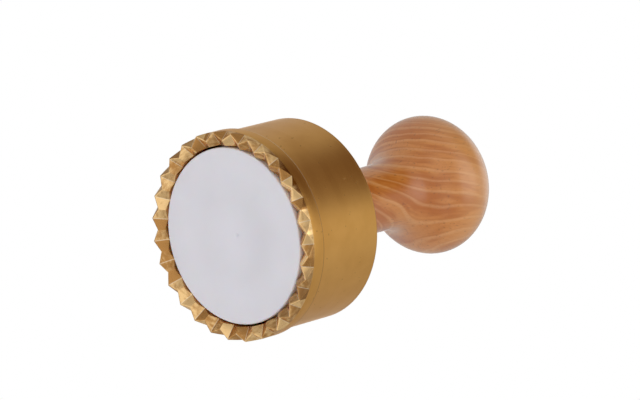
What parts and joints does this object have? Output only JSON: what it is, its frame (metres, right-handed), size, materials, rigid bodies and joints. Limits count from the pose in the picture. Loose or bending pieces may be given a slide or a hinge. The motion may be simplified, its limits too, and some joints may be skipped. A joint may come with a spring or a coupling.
{
  "type": "ravioli stamp",
  "caption": "Hand stamp for round ravioli: a toothed brass cup cuts and crimps, a sprung white disc pushes the dough out, and a turned wooden knob is the handle.",
  "frame": {"origin": "on the common axis, in the plane that the outer tips of the teeth touch", "axes": "+Z along the axis from the teeth towards the knob; +X and +Y are radial, with an outer tip 8.4 degrees from +X"},
  "size_m": [0.064, 0.064, 0.1069],
  "materials": {
    "cup_brass": "satin turned wall, polished tooth facets",
    "turned_brass": "as turned",
    "bush_bronze": "oiled bearing bronze",
    "varnished_beech": "clear gloss varnish over fine straight grain",
    "white_plastic": "smooth turned food-grade plastic",
    "spring_steel": "drawn stainless spring wire",
    "stainless_steel": "bright turned stainless steel"
  },
  "bodies": {
    "stamp": {"cutter_body": "cup_brass", "handle_bolt": "turned_brass", "guide_bush": "bush_bronze", "handle_sleeve": "turned_brass", "wooden_handle": "varnished_beech", "ejector_spring": "spring_steel"},
    "ejector": {"ejector_disc": "white_plastic", "disc_insert": "turned_brass", "guide_rod": "stainless_steel", "spring_seat_washer": "stainless_steel", "jam_nut": "stainless_steel", "stop_washer": "stainless_steel", "stop_nut": "stainless_steel"}
  },
  "joints": [
    {"name": "ejector_slide", "type": "slide", "parent": "stamp", "child": "ejector", "axis": [0, 0, 1], "range_m": [0, 0.0105], "stiffness_N_per_m": 650, "springref_m": -0.0066, "deforming": ["ejector_spring"]}
  ]
}
